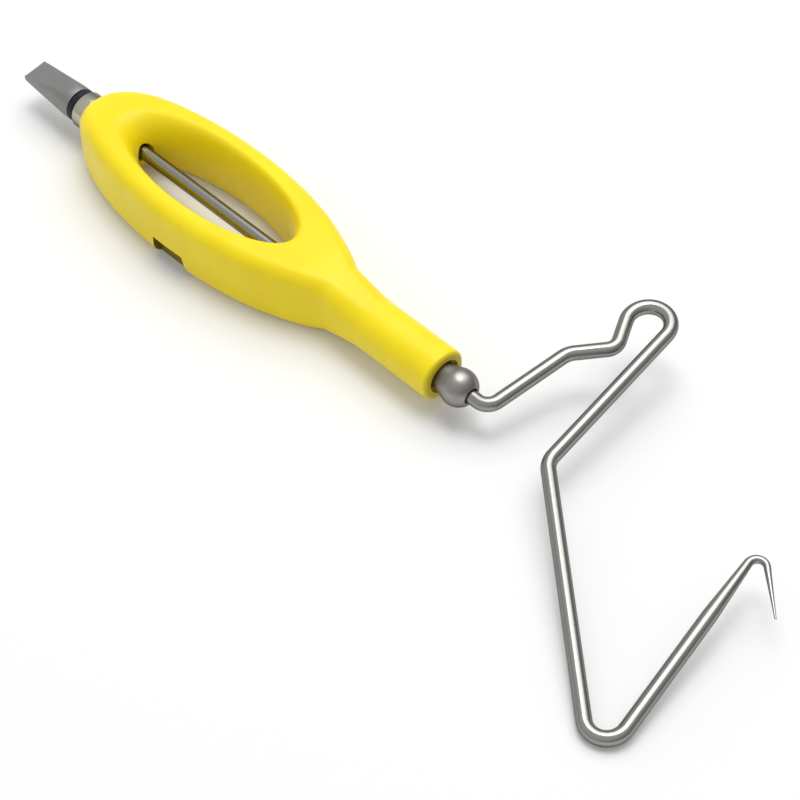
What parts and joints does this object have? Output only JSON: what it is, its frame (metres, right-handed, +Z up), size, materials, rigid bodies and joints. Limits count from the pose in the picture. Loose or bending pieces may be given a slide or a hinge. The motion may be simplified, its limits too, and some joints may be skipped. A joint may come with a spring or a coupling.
{
  "type": "whip finisher",
  "caption": "Rotary whip finisher for tying fishing flies: a looped yellow handle with a bent wire hook that spins through it and a flat-sided tool on the wire's rear end.",
  "frame": {"origin": "on the flat underside of the handle, under the spin axis, between the finger window and the neck", "axes": "+X along the spin axis from the tail tool to the hook, +Y towards the wire's crook, +Z up from the table that the tool lies on"},
  "size_m": [0.1398, 0.0527, 0.0101],
  "materials": {
    "yellow_coat": "smooth yellow coat, satin gloss",
    "satin_steel": "satin turned steel",
    "bright_collar": "bright polished",
    "dark_washer": "dark, dull",
    "polished_wire": "drawn stainless wire, polished",
    "matte_steel": "matte grey, bead blasted"
  },
  "bodies": {
    "handle": {"handle": "yellow_coat", "nose_bush": "satin_steel", "tail_bush": "bright_collar", "thrust_washer": "dark_washer"},
    "spinner": {"hook_wire": "polished_wire", "tail_tool": "matte_steel"}
  },
  "joints": [
    {"name": "hook_spin", "type": "hinge", "parent": "handle", "child": "spinner", "pos_m": [0, 0, 0.005], "axis": [1, 0, 0], "continuous": true}
  ]
}
